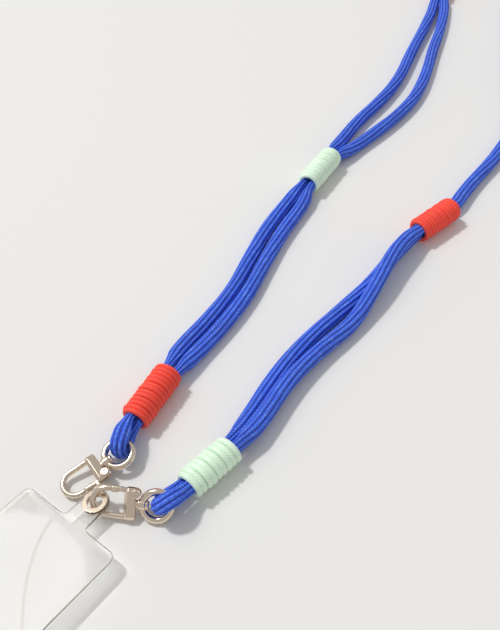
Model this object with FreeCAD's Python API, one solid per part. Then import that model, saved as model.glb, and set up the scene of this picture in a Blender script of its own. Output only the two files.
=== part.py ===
import FreeCAD, Part
import math
import os
from FreeCAD import Vector

# Phone lanyard: one soft ribbed cord, doubled and whipped with coloured thread,
# a swivel snap hook on each end, and a clear phone tab on hook B.
# Millimetres, +Z up. Origin: middle of the hooks and the tab, on the table.

# ---- driving dimensions: cord and collars --------------------------------
CORD_D = 6.6            # full, relaxed cord
NECK_D = 3.75           # cord squeezed inside a collar
BIGHT_D = 5.0           # cord drawn round a ring
FIT = 0.025             # clearance round what a collar or a ring holds
COLLAR_TURNS = 13       # turns of thread in a whipped collar
COLLAR_WALL = 1.8       # thread below its ridges
COLLAR_RIDGE = 0.5      # height of each thread ridge
COIL_R = 33.6           # inner turn of the stowed coil
COIL_AT = (224.0, 352.0)
COIL_GAP = 0.1          # between the coil's two turns

# ---- driving dimensions: snap hooks --------------------------------------
RING_R = 5.0            # ring, to the middle of its wire
RING_WIRE_R = 1.3
EYE_BOSS_R = 2.0        # barrel that holds the swivel post
EYE_BOSS_END = 6.5
EYE_BOSS_SOFT = 0.45    # rounding of the barrel's rims
EYE_FACE = 3.8          # barrel's inner face, inside the ring
EYE_SEAT_CLEAR = 0.15   # between the post's head and the ring's wire
POST_R = 1.0
POST_CLEAR = 0.06       # running clearance of the swivel
POST_HEAD_R = 1.75
POST_HEAD_T = 1.2
POST_COVER = 0.5        # metal left over the post's end in the crossbar
SHOULDER_R = 1.4
BASE_X0 = 7.2           # crossbar, ring side
BASE_T = 4.0            # crossbar along the hook
BASE_HALF_W = 5.5
BASE_HALF_H = 2.0
BASE_RIDGE = 0.7        # where along the crossbar its roof is highest
BASE_RIDGE_HALF = 4.4   # half of the roof's ridge; beyond it the ends slope
BASE_END_SHARE = 0.68   # height left at the crossbar's end faces
BASE_SOFT = 0.5         # rounding of the crossbar's edges
WIRE_R = 1.05           # fixed side and nose of the hook
HOOK_HALF_W = 4.6       # fixed side and gate, to the middle of their wires
NOSE_X = 22.3           # tip of the nose, to the middle of its wire
GATE_R = 0.85
GATE_X = 16.0           # where gate and nose meet
LAP = 1.1               # half lap between gate and nose
GATE_GAP = 0.2
BEAD_R = 1.25
BEAD_L = 2.5
BEAD_SOFT = 0.3
PIVOT = (7.35, 3.6)     # gate rivet
PIVOT_BOSS_R = 1.5
PIVOT_BOSS_H = 2.25
RIVET_R = 0.6
RIVET_SUNK = 0.35       # below the faces of its boss
RIVET_CLEAR = 0.04
SLOT_W = 1.9            # slot for the gate's tang
TANG_T = 0.9
TANG_R = 1.3
TANG_CLEAR = 0.1        # below the tang in its slot
SPRING_WIRE_R = 0.14
SPRING_R = 0.95
SPRING_PITCH = 0.36

# ---- driving dimensions: phone tab ---------------------------------------
TAB_T = 0.9
TAB_L = 40.6
TAB_LEFT = 25.0         # plate, either side of the neck's middle line
TAB_RIGHT = 21.0
TAB_CORNER = 3.0
NECK_L = 9.5            # eyelet to the plate's shoulder
NECK_W = 10.0
NECK_T = 1.3
EYELET_R = 2.9          # clear hole
EYELET_WALL = 0.4
FLANGE_R = 4.5
FLANGE_T = 0.35
TAB_ON_NOSE = -12.0     # degrees round the nose, counted towards the gate
TAB_SLACK = 0.8         # the eyelet lies this far back from the wire's middle
TAB_HEADING = 239.0
TAB_DIVE = 1.2
TAB_ROLL = 7.0

# ---- where things lie ----------------------------------------------------
# ring centre, heading and dive of the swivel's axis, roll of the ring, roll of
# the hook, and the angle round the ring at which the cord passes
HOOKS = {
    "a": dict(at=Vector(12.2, 33.4, 5.4), heading=224.0, dive=9.0,
              ring_roll=-6.0, hook_roll=-6.0, cord_side=-139.0),
    "b": dict(at=Vector(30.6, 14.9, 5.4), heading=181.5, dive=0.0,
              ring_roll=-49.0, hook_roll=138.0, cord_side=-140.0),
}
# collar: middle of its lower and upper end, and how far its left cord is raised
COLLARS = {
    "collar_red_a": dict(low=(14.0, 47.4), top=(23.1, 73.2), tilt=30.0),
    "collar_mint_a": dict(low=(65.4, 198.9), top=(76.8, 227.2), tilt=0.0),
    "collar_mint_b": dict(low=(38.9, 22.7), top=(52.9, 42.2), tilt=-25.0),
    "collar_red_b": dict(low=(119.6, 170.5), top=(137.4, 191.6), tilt=-75.0),
    "collar_red_end": dict(low=(138.6, 428.5), top=(142.5, 456.2), tilt=0.0),
}
LIE = CORD_D / 2        # height of a cord that lies on the table
# hand-laid routes of the cord's free stretches
ROUTES = {
    "cord_a_lower_left": [(24.2, 88.2, LIE), (31.8, 102.8, LIE), (40.2, 123.7, LIE),
                          (44.7, 146.4, LIE), (49.8, 168.2, LIE), (58.0, 189.3, LIE)],
    "cord_a_lower_right": [(31.1, 85.8, LIE), (38.8, 101.1, LIE), (47.0, 122.1, LIE),
                           (51.8, 144.7, LIE), (57.5, 166.8, LIE), (65.0, 186.4, LIE)],
    "cord_a_upper_left": [(79.0, 240.6, LIE), (88.0, 264.0, LIE), (100.4, 287.0, LIE),
                          (110.6, 312.5, LIE), (117.4, 343.0, LIE), (125.6, 376.0, LIE),
                          (131.8, 402.0, LIE), (133.9, 416.0, LIE)],
    "cord_a_upper_right": [(86.6, 237.4, LIE), (96.6, 252.0, LIE), (110.0, 272.5, LIE),
                           (120.8, 295.0, LIE), (127.2, 322.0, LIE), (132.2, 354.0, LIE),
                           (138.6, 387.0, LIE), (141.3, 415.5, LIE)],
    "cord_b_left": [(56.2, 56.2, LIE), (63.6, 78.0, LIE), (74.6, 98.6, LIE),
                    (87.6, 117.4, LIE), (99.4, 135.0, LIE), (106.0, 148.0, LIE),
                    (110.8, 158.2, LIE)],
    "cord_b_right": [(62.6, 52.4, LIE), (70.2, 72.3, LIE), (81.8, 91.2, LIE),
                     (94.6, 110.0, LIE), (104.6, 130.4, 6.2), (109.4, 146.4, 10.0),
                     (113.2, 157.2, 9.8)],
    "cord_b_single": [(143.8, 207.6, LIE), (150.8, 221.0, LIE), (159.6, 236.0, LIE),
                      (167.0, 252.0, LIE), (174.6, 270.0, LIE), (180.4, 290.0, LIE),
                      (183.4, 307.0, 6.2), (184.8, 322.0, 10.6), (187.0, 341.0, 10.6),
                      (190.6, 357.0, 8.6)],
    "cord_to_coil": [(144.6, 469.0, LIE), (149.1, 480.1, LIE), (158.3, 487.8, LIE),
                     (170.0, 490.3, LIE), (181.5, 486.8, LIE), (189.8, 478.2, LIE),
                     (193.4, 465.7, LIE), (191.5, 444.0, LIE), (188.9, 424.0, LIE),
                     (185.8, 400.0, LIE), (183.8, 376.0, LIE), (183.8, 358.0, LIE)],
}

UP = Vector(0, 0, 1)


# ---- helpers -------------------------------------------------------------
def cylinder(radius, start, end):
    """A round bar from start to end."""
    run = end - start
    return Part.makeCylinder(radius, run.Length, start, run)


def fused(*shapes):
    """One solid from several that touch or overlap."""
    whole = shapes[0]
    for shape in shapes[1:]:
        whole = whole.fuse(shape)
    return whole.removeSplitter()


def save(name, shape):
    """Write a node, after checking that it is sound."""
    if not shape.isValid() or not shape.Solids:
        raise ValueError(name + " isn't a sound solid")
    shape.exportStep("parts/" + name + ".step")
    box = shape.BoundBox
    print("%-20s %d solid %9.1f mm3  z %.2f..%.2f" % (
        name, len(shape.Solids), shape.Volume, box.ZMin, box.ZMax))


def frame(at, heading, dive, roll):
    """Placement with x along a heading that dives, and y turned up by roll."""
    h = math.radians(heading)
    d = math.radians(dive)
    r = math.radians(roll)
    x = Vector(math.cos(h) * math.cos(d), math.sin(h) * math.cos(d), -math.sin(d))
    left = Vector(-math.sin(h), math.cos(h), 0)
    y = left * math.cos(r) + x.cross(left) * math.sin(r)
    return FreeCAD.Placement(at, FreeCAD.Rotation(x, y, x.cross(y), "XYZ"))


def placed(shape, placement):
    moved = shape.copy()
    moved.transformShape(placement.toMatrix())
    return moved


def disc(centre, direction, diameter):
    return Part.Wire([Part.makeCircle(diameter / 2, centre, direction)])


def route_wire(name, points):
    """Straight runs joined by tangent arcs, as large as the runs allow."""
    edges = []
    radii = []
    here = points[0]
    for before, corner, after in zip(points, points[1:], points[2:]):
        come = corner - before
        go = after - corner
        turn = come.getAngle(go)
        reach = 0.45 * min(come.Length, go.Length)
        radius = reach / math.tan(turn / 2)
        radii.append(radius)
        come.normalize()
        go.normalize()
        start = corner - come * reach
        end = corner + go * reach
        bisector = (go - come).normalize()
        centre = corner + bisector * (radius / math.cos(turn / 2))
        middle = centre - bisector * radius
        edges.append(Part.LineSegment(here, start).toShape())
        edges.append(Part.Arc(start, middle, end).toShape())
        here = end
    edges.append(Part.LineSegment(here, points[-1]).toShape())
    if radii:
        print("%-20s arc radii %s" % (name, " ".join("%.0f" % r for r in radii)))
    return Part.Wire(edges)


def tube(name, wire, start, direction, diameter):
    """Round cord along a wire, checked against section times length."""
    solid = wire.makePipeShell([disc(start, direction, diameter)], True, False, 0)
    expected = math.pi * diameter ** 2 / 4 * wire.Length
    if abs(solid.Volume / expected - 1) > 0.01:
        raise ValueError(name + " tube has the wrong volume")
    return solid


def taper(start, start_way, start_d, end, end_way, end_d):
    """Cord that narrows or widens between two round sections."""
    return Part.makeLoft([disc(start, start_way, start_d),
                          disc(end, end_way, end_d)], True, False)


# ---- collars -------------------------------------------------------------
COLLAR_BORE_R = NECK_D + FIT * 2
COLLAR_R = COLLAR_BORE_R + COLLAR_WALL + COLLAR_RIDGE


def collar_axis(name):
    """Lower end, upper end and direction of a collar's axis."""
    low = Vector(*COLLARS[name]["low"], COLLAR_R)
    top = Vector(*COLLARS[name]["top"], COLLAR_R)
    return low, top, (top - low).normalize()


def neck_offset(name, side):
    """From a collar's axis to its left or right cord."""
    way = collar_axis(name)[2]
    tilt = math.radians(COLLARS[name]["tilt"])
    left = UP.cross(way) * math.cos(tilt) + UP * math.sin(tilt)
    reach = NECK_D / 2 + FIT
    return left * (reach if side == "left" else -reach)


def neck(name, side, end):
    """Half of a cord inside a collar, and its place at that end's mouth."""
    low, top, way = collar_axis(name)
    offset = neck_offset(name, side)
    mouth = (low if end == "low" else top) + offset
    middle = (low + top) * 0.5 + offset
    return cylinder(NECK_D / 2, middle, mouth), mouth, way


def collar(name):
    """Thread wound round the doubled cord: a sleeve with a ridge for each turn."""
    low, top, way = collar_axis(name)
    length = (top - low).Length
    pitch = length / COLLAR_TURNS
    root = COLLAR_BORE_R + COLLAR_WALL
    edges = []
    for turn in range(COLLAR_TURNS):
        start = Vector(pitch * turn, root, 0)
        crest = Vector(pitch * (turn + 0.5), COLLAR_R, 0)
        end = Vector(pitch * (turn + 1), root, 0)
        edges.append(Part.Arc(start, crest, end).toShape())
    corners = [Vector(length, root, 0), Vector(length, COLLAR_BORE_R, 0),
               Vector(0, COLLAR_BORE_R, 0), Vector(0, root, 0)]
    for start, end in zip(corners, corners[1:]):
        edges.append(Part.LineSegment(start, end).toShape())
    profile = Part.Face(Part.Wire(Part.__sortEdges__(edges)))
    sleeve = profile.revolve(Vector(), Vector(1, 0, 0), 360)
    side = UP.cross(way)
    turned = FreeCAD.Rotation(way, side, UP, "XYZ")
    return placed(sleeve, FreeCAD.Placement(low, turned))


# ---- cord ----------------------------------------------------------------
def stretch(name, low_end, top_end):
    """Free cord between collars; an end is (collar, side, mouth) or None."""
    points = [Vector(*p) for p in ROUTES[name]]
    first = (points[1] - points[0]).normalize()
    last = (points[-1] - points[-2]).normalize()
    solids = [tube(name, route_wire(name, points), points[0], first, CORD_D)]
    if low_end:
        inner, mouth, way = neck(*low_end)
        solids += [taper(mouth, way, NECK_D, points[0], first, CORD_D), inner]
    if top_end:
        inner, mouth, way = neck(*top_end)
        solids += [taper(points[-1], last, CORD_D, mouth, way, NECK_D), inner]
    return fused(*solids)


def loop(hook, collar_name, leg):
    """The cord's bight: down over the ring's wire, round it and back below it."""
    place = frame(hook["at"], hook["heading"], hook["dive"], hook["ring_roll"])
    angle = math.radians(hook["cord_side"])
    out = place.Rotation.multVec(Vector(math.cos(angle), math.sin(angle), 0))
    normal = place.Rotation.multVec(UP)
    wire_at = hook["at"] + out * RING_R
    bend = RING_WIRE_R + FIT * 2 + BIGHT_D / 2
    over = wire_at + normal * bend
    under = wire_at - normal * bend
    over_leg = over + out * leg
    under_leg = under + out * leg
    path = Part.Wire([
        Part.LineSegment(over_leg, over).toShape(),
        Part.Arc(over, wire_at - out * bend, under).toShape(),
        Part.LineSegment(under, under_leg).toShape(),
    ])
    print("%-20s bend radius %.1f round the ring" % (collar_name, bend))
    high_side = "left" if COLLARS[collar_name]["tilt"] > 0 else "right"
    low_side = "right" if high_side == "left" else "left"
    high, high_mouth, way = neck(collar_name, high_side, "low")
    low, low_mouth, way = neck(collar_name, low_side, "low")
    back = out * -1
    return fused(
        tube(collar_name, path, over_leg, back, BIGHT_D),
        taper(high_mouth, way, NECK_D, over_leg, out, BIGHT_D), high,
        taper(low_mouth, way, NECK_D, under_leg, out, BIGHT_D), low)


def coil():
    """Outer shape of the two flat turns in which the spare cord is stowed."""
    inner = COIL_R
    outer = COIL_R + CORD_D + COIL_GAP
    r = CORD_D / 2
    low = Vector(inner, 0, 0)
    high = Vector(inner, 0, CORD_D)
    low_out = Vector(outer, 0, 0)
    high_out = Vector(outer, 0, CORD_D)
    edges = [Part.LineSegment(low, low_out).toShape(),
             Part.Arc(low_out, Vector(outer + r, 0, r), high_out).toShape(),
             Part.LineSegment(high_out, high).toShape(),
             Part.Arc(high, Vector(inner - r, 0, r), low).toShape()]
    section = Part.Face(Part.Wire(edges))
    ring = section.revolve(Vector(), UP, 360)
    ring.translate(Vector(*COIL_AT, 0))
    return ring


# ---- snap hooks, in their own frame: x from ring centre to nose -----------
BASE_X1 = BASE_X0 + BASE_T
ARC_X = NOSE_X - HOOK_HALF_W
PIVOT_AT = Vector(PIVOT[0], PIVOT[1], 0)
POST_END = BASE_X1 - POST_COVER
THROUGH = 10.0          # length of the tools that cut right through


def eye():
    """Ring with the barrel in which the swivel post turns."""
    ring = Part.makeTorus(RING_R, RING_WIRE_R)
    barrel = cylinder(EYE_BOSS_R, Vector(EYE_FACE, 0, 0), Vector(EYE_BOSS_END, 0, 0))
    barrel = barrel.makeFillet(EYE_BOSS_SOFT, [e for e in barrel.Edges if e.Closed])
    bore = cylinder(POST_R + POST_CLEAR, Vector(0, 0, 0), Vector(THROUGH, 0, 0))
    seat = cylinder(POST_HEAD_R + EYE_SEAT_CLEAR, Vector(0, 0, 0), Vector(EYE_FACE, 0, 0))
    return fused(ring, barrel).cut(seat).cut(bore)


def swivel_post():
    """Headed post: the head inside the ring, the shank pressed in the crossbar."""
    face = EYE_FACE - POST_CLEAR
    head = cylinder(POST_HEAD_R, Vector(face - POST_HEAD_T, 0, 0), Vector(face, 0, 0))
    rim = [e for e in head.Edges if e.Closed and e.CenterOfMass.x < face - POST_HEAD_T / 2]
    head = head.makeFillet(POST_HEAD_T * 0.6, rim)
    shank = cylinder(POST_R, Vector(face - POST_HEAD_T / 2, 0, 0), Vector(POST_END, 0, 0))
    shoulder = cylinder(SHOULDER_R, Vector(EYE_BOSS_END + POST_CLEAR, 0, 0),
                        Vector(BASE_X0, 0, 0))
    return fused(head, shank, shoulder)


def crossbar_section(y, share):
    """Six-sided outline of the crossbar at y, with this share of its height."""
    ridge = BASE_X0 + BASE_T * BASE_RIDGE
    high = BASE_HALF_H * share
    corners = [Vector(BASE_X0, y, -high * 0.65), Vector(BASE_X0, y, high * 0.65),
               Vector(ridge, y, high), Vector(BASE_X1, y, high * 0.6),
               Vector(BASE_X1, y, -high * 0.6), Vector(ridge, y, -high)]
    return Part.makePolygon(corners + corners[:1])


def hook_body():
    """Crossbar, fixed side and nose in one casting, slotted for the gate."""
    sections = [crossbar_section(-BASE_HALF_W, BASE_END_SHARE),
                crossbar_section(-BASE_RIDGE_HALF, 1),
                crossbar_section(BASE_RIDGE_HALF, 1),
                crossbar_section(BASE_HALF_W, BASE_END_SHARE)]
    bar = Part.makeLoft(sections, True, True)
    bar = bar.makeFillet(BASE_SOFT, bar.Edges)
    boss = cylinder(PIVOT_BOSS_R, PIVOT_AT - UP * PIVOT_BOSS_H, PIVOT_AT + UP * PIVOT_BOSS_H)
    boss = boss.makeFillet(BEAD_SOFT, [e for e in boss.Edges if e.Closed])
    root = Vector(BASE_X0 + BASE_T / 2, -HOOK_HALF_W, 0)
    fixed = Vector(ARC_X, -HOOK_HALF_W, 0)
    tip = Vector(NOSE_X, 0, 0)
    gate_side = Vector(ARC_X, HOOK_HALF_W, 0)
    end = Vector(GATE_X + GATE_GAP, HOOK_HALF_W, 0)
    path = Part.Wire([Part.LineSegment(root, fixed).toShape(),
                      Part.Arc(fixed, tip, gate_side).toShape(),
                      Part.LineSegment(gate_side, end).toShape()])
    wire = path.makePipeShell([disc(root, Vector(1, 0, 0), WIRE_R * 2)], True, False, 0)
    lap = Part.makeBox(LAP, WIRE_R * 2, WIRE_R * 2,
                       Vector(GATE_X, HOOK_HALF_W - WIRE_R * 2 + GATE_GAP / 2, -WIRE_R))
    body = fused(bar, boss, wire.cut(lap))
    slot_start = PIVOT[0] - PIVOT_BOSS_R - GATE_GAP
    slot = Part.makeBox(BASE_X1 + GATE_GAP - slot_start, BASE_HALF_W * 2, SLOT_W,
                        Vector(slot_start, PIVOT[1] - TANG_R - GATE_GAP, -SLOT_W / 2))
    post_hole = cylinder(POST_R, Vector(0, 0, 0), Vector(POST_END, 0, 0))
    rivet_hole = cylinder(RIVET_R, PIVOT_AT - UP * THROUGH, PIVOT_AT + UP * THROUGH)
    return body.cut(slot).cut(post_hole).cut(rivet_hole)


def gate():
    """Slim lever: tang in the slot, round bar, bead and half lap at its end."""
    low = -SLOT_W / 2 + TANG_CLEAR
    hub = Part.makeCylinder(TANG_R, TANG_T, PIVOT_AT + UP * low)
    start = BASE_X1 + GATE_GAP * 4
    arm = Part.makeBox(start + GATE_R / 2 - PIVOT[0], GATE_R * 1.8, TANG_T,
                       Vector(PIVOT[0], HOOK_HALF_W - GATE_R * 0.9, low))
    bar = cylinder(GATE_R, Vector(start, HOOK_HALF_W, 0), Vector(GATE_X, HOOK_HALF_W, 0))
    bead = cylinder(BEAD_R, Vector(GATE_X - BEAD_L, HOOK_HALF_W, 0),
                    Vector(GATE_X, HOOK_HALF_W, 0))
    bead = bead.makeFillet(BEAD_SOFT, [e for e in bead.Edges if e.Closed])
    tongue = cylinder(GATE_R, Vector(GATE_X - BEAD_L / 2, HOOK_HALF_W, 0),
                      Vector(GATE_X + LAP - GATE_GAP, HOOK_HALF_W, 0))
    outer = Part.makeBox(LAP + 1, WIRE_R * 3, WIRE_R * 4,
                         Vector(GATE_X, HOOK_HALF_W - GATE_GAP / 2, -WIRE_R * 2))
    rivet_hole = cylinder(RIVET_R + RIVET_CLEAR, PIVOT_AT - UP * THROUGH,
                          PIVOT_AT + UP * THROUGH)
    return fused(hub, arm, bar, bead, tongue.cut(outer)).cut(rivet_hole)


def gate_rivet():
    """Plain pin, sunk a little below the faces of its boss."""
    half = PIVOT_BOSS_H - RIVET_SUNK
    return cylinder(RIVET_R, PIVOT_AT - UP * half, PIVOT_AT + UP * half)


def gate_spring():
    """Two small turns of wire round the rivet, beside the tang."""
    bottom = -SLOT_W / 2 + TANG_CLEAR + TANG_T + SPRING_WIRE_R * 1.4
    helix = Part.makeHelix(SPRING_PITCH, SPRING_PITCH * 1.4, SPRING_R)
    ring = disc(Vector(SPRING_R, 0, 0), Vector(0, 1, 0), SPRING_WIRE_R * 2)
    turns = Part.Wire(helix).makePipeShell([ring], True, True)
    turns.translate(PIVOT_AT + UP * bottom)
    return turns


# ---- phone tab, in its own frame: x from the eyelet to the far end ---------
def phone_tab():
    """Thin clear plate with a thicker neck that carries the eyelet."""
    plate = Part.makeBox(TAB_L, TAB_LEFT + TAB_RIGHT, TAB_T,
                         Vector(NECK_L, -TAB_LEFT, -TAB_T / 2))
    plate = plate.makeFillet(TAB_CORNER, [e for e in plate.Edges
                                          if abs(e.tangentAt(0).z) > 0.9])
    stem = Part.makeBox(NECK_L, NECK_W, NECK_T, Vector(0, -NECK_W / 2, -NECK_T / 2))
    head = Part.makeCylinder(NECK_W / 2, NECK_T, Vector(0, 0, -NECK_T / 2))
    hole = Part.makeCylinder(EYELET_R + EYELET_WALL + FIT, THROUGH,
                             Vector(0, 0, -THROUGH / 2))
    return fused(plate, stem, head).cut(hole)


def tab_eyelet():
    """Rolled metal barrel with its wide flange on the upper face."""
    half = NECK_T / 2
    barrel = Part.makeCylinder(EYELET_R + EYELET_WALL, NECK_T + FLANGE_T,
                               Vector(0, 0, -half - FLANGE_T))
    flange = Part.makeCylinder(FLANGE_R, FLANGE_T, Vector(0, 0, half))
    rim = [e for e in flange.Edges if e.Closed and e.CenterOfMass.z > half + FLANGE_T / 2]
    flange = flange.makeFillet(FLANGE_T * 0.7, rim)
    hole = Part.makeCylinder(EYELET_R, THROUGH, Vector(0, 0, -THROUGH / 2))
    return fused(barrel, flange).cut(hole)


def tab_washer():
    """Flat ring on the lower face, held by the barrel's end."""
    top = -NECK_T / 2
    ring = Part.makeCylinder(FLANGE_R, FLANGE_T, Vector(0, 0, top - FLANGE_T))
    rim = [e for e in ring.Edges if e.Closed and e.CenterOfMass.z < top - FLANGE_T / 2]
    ring = ring.makeFillet(FLANGE_T * 0.7, rim)
    hole = Part.makeCylinder(EYELET_R + EYELET_WALL, THROUGH, Vector(0, 0, -THROUGH / 2))
    return ring.cut(hole)


# ---- the whole thing -----------------------------------------------------
for letter, hook in HOOKS.items():
    ring_frame = frame(hook["at"], hook["heading"], hook["dive"], hook["ring_roll"])
    hook_frame = frame(hook["at"], hook["heading"], hook["dive"], hook["hook_roll"])
    save("eye_" + letter, placed(eye(), ring_frame))
    save("swivel_post_" + letter, placed(swivel_post(), hook_frame))
    save("hook_" + letter, placed(hook_body(), hook_frame))
    save("gate_" + letter, placed(gate(), hook_frame))
    save("gate_rivet_" + letter, placed(gate_rivet(), hook_frame))
    save("gate_spring_" + letter, placed(gate_spring(), hook_frame))

# the tab hangs on the nose of hook B
holder = HOOKS["b"]
holder_frame = frame(holder["at"], holder["heading"], holder["dive"], holder["hook_roll"])
nose = math.radians(TAB_ON_NOSE)
on_wire = Vector(ARC_X + HOOK_HALF_W * math.cos(nose) - TAB_SLACK,
                 HOOK_HALF_W * math.sin(nose), 0)
tab_frame = frame(holder_frame.multVec(on_wire), TAB_HEADING, TAB_DIVE, TAB_ROLL)
save("phone_tab", placed(phone_tab(), tab_frame))
save("tab_eyelet", placed(tab_eyelet(), tab_frame))
save("tab_washer", placed(tab_washer(), tab_frame))

for name in COLLARS:
    save(name, collar(name))

save("cord_loop_a", loop(HOOKS["a"], "collar_red_a", 2.0))
save("cord_loop_b", loop(HOOKS["b"], "collar_mint_b", 1.2))
ENDS = {
    "cord_a_lower_left": (("collar_red_a", "left", "top"), ("collar_mint_a", "left", "low")),
    "cord_a_lower_right": (("collar_red_a", "right", "top"), ("collar_mint_a", "right", "low")),
    "cord_a_upper_left": (("collar_mint_a", "left", "top"), ("collar_red_end", "left", "low")),
    "cord_a_upper_right": (("collar_mint_a", "right", "top"), ("collar_red_end", "right", "low")),
    "cord_b_left": (("collar_mint_b", "left", "top"), ("collar_red_b", "left", "low")),
    "cord_b_right": (("collar_mint_b", "right", "top"), ("collar_red_b", "right", "low")),
    "cord_b_single": (("collar_red_b", "left", "top"), None),
    "cord_to_coil": (("collar_red_end", "right", "top"), None),
}
stowed = coil()
save("cord_coil", stowed)
for name, (low_end, top_end) in ENDS.items():
    cord = stretch(name, low_end, top_end)
    if top_end is None:
        cord = cord.cut(stowed)
    save(name, cord)
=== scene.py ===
# %% [markdown]
# # Dressing a cord phone lanyard
# A phone lanyard is one long soft cord, laid double and whipped with coloured
# thread, with a swivel snap hook on each end and a clear tab that sits inside a
# phone's case. Its metal parts were drawn in CAD, and they come in here as a
# fixed frame. What is soft or see-through is modelled in this lesson, round
# that frame: the cord, the wound collars and the clear tab.

# %% Load the fixed frame
import math

import bmesh
import bpy
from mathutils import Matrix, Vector


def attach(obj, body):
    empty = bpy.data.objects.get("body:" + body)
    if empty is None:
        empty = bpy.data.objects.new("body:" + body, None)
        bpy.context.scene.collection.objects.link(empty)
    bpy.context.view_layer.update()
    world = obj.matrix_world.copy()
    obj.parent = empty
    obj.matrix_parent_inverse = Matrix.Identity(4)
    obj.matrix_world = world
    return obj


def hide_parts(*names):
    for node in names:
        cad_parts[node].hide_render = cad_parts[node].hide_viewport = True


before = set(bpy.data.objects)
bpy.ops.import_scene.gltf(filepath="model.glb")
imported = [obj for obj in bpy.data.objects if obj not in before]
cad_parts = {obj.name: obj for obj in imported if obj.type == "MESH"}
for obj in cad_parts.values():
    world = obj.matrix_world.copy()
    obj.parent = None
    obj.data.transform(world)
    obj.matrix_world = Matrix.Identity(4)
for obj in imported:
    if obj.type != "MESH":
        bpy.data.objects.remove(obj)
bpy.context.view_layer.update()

# %% [markdown]
# ## Camera
# The strap lies on a table and is looked at from above, at a slant, from behind
# the hooks. The camera is placed at a given point and aimed by two angles: the heading
# on the table and how far it looks down.

# %% Camera
CAMERA_AT = Vector((0.080, -0.108, 0.239))
HEADING = math.radians(98.0)
LOOK_DOWN = math.radians(47.0)
LENS_MM = 43.26
NEAREST_SEEN = 0.01


def add_object(name, data):
    """A new object in the scene, at the origin, that holds this data."""
    made = bpy.data.objects.new(name, data)
    bpy.context.scene.collection.objects.link(made)
    return made


camera_data = bpy.data.cameras.new("camera")
camera_data.lens = LENS_MM
camera_data.clip_start = NEAREST_SEEN
camera = add_object("camera", camera_data)
aim = Vector((math.cos(HEADING) * math.cos(LOOK_DOWN),
              math.sin(HEADING) * math.cos(LOOK_DOWN), -math.sin(LOOK_DOWN)))
camera.location = CAMERA_AT
camera.rotation_euler = aim.to_track_quat("-Z", "Y").to_euler()
bpy.context.scene.camera = camera
print("camera looks along", tuple(round(c, 3) for c in aim))

# %% [markdown]
# ## The cord's line
# A soft cord takes long easy curves, and pulls tight only where it goes round a
# ring. A NURBS spline of order 3 gives such a line from a few listed points:
# it touches each run of its control polygon and rounds each corner. The order
# and the end knots are set after the points are there, because a spline that is
# still short falls back to straight runs.

# %% Spline to points
STEPS_PER_RUN = 16
SPLINE_ORDER = 3


def soft_line(points):
    """Points along a NURBS spline with these control points."""
    curve = bpy.data.curves.new("line", "CURVE")
    curve.dimensions = "3D"
    curve.resolution_u = STEPS_PER_RUN
    spline = curve.splines.new("NURBS")
    spline.points.add(len(points) - 1)
    for control, place in zip(spline.points, points):
        control.co = (*place, 1.0)
    spline.order_u = SPLINE_ORDER
    spline.use_endpoint_u = True
    holder = bpy.data.objects.new("line", curve)
    mesh = bpy.data.meshes.new_from_object(holder)
    line = [v.co.copy() for v in mesh.vertices]
    bpy.data.objects.remove(holder)
    bpy.data.curves.remove(curve)
    bpy.data.meshes.remove(mesh)
    return line


def line_length(line):
    return sum((b - a).length for a, b in zip(line, line[1:]))


print("a line has", STEPS_PER_RUN, "steps for each run of its control points")

# %% [markdown]
# ## Where the cord runs
# The cord is one length, and it is laid here in three parts that meet inside
# collars. The first part hangs hook A: it comes down on the left through three
# collars, goes round the ring and returns on the right. The second hangs hook B
# in the same way. The third joins them behind the far collar and holds the
# spare length, wound in two flat turns.

# %% Routes
CORD_A = [
    (0.1406, 0.4565, 0.0061), (0.1367, 0.4288, 0.0061), (0.1339, 0.4160, 0.0033),
    (0.1318, 0.4020, 0.0033), (0.1256, 0.3760, 0.0033), (0.1174, 0.3430, 0.0033),
    (0.1106, 0.3125, 0.0033), (0.1004, 0.2870, 0.0033), (0.0880, 0.2640, 0.0033),
    (0.0790, 0.2406, 0.0033), (0.0750, 0.2279, 0.0061), (0.0636, 0.1996, 0.0061),
    (0.0580, 0.1893, 0.0033), (0.0498, 0.1682, 0.0033), (0.0447, 0.1464, 0.0033),
    (0.0402, 0.1237, 0.0033), (0.0318, 0.1028, 0.0033), (0.0242, 0.0882, 0.0033),
    (0.0215, 0.0737, 0.0070), (0.0124, 0.0479, 0.0070), (0.0126, 0.0396, 0.0105),
    (0.0121, 0.0338, 0.0094), (0.0124, 0.0352, 0.0026), (0.0129, 0.0410, 0.0031),
    (0.0156, 0.0469, 0.0051), (0.0247, 0.0727, 0.0051), (0.0311, 0.0858, 0.0033),
    (0.0388, 0.1011, 0.0033), (0.0470, 0.1221, 0.0033), (0.0518, 0.1447, 0.0033),
    (0.0575, 0.1668, 0.0033), (0.0650, 0.1864, 0.0033), (0.0672, 0.1982, 0.0061),
    (0.0786, 0.2265, 0.0061), (0.0866, 0.2374, 0.0033), (0.0966, 0.2520, 0.0033),
    (0.1100, 0.2725, 0.0033), (0.1208, 0.2950, 0.0033), (0.1272, 0.3220, 0.0033),
    (0.1322, 0.3540, 0.0033), (0.1386, 0.3870, 0.0033), (0.1413, 0.4155, 0.0033),
    (0.1405, 0.4282, 0.0061), (0.1444, 0.4559, 0.0061),
]
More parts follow.
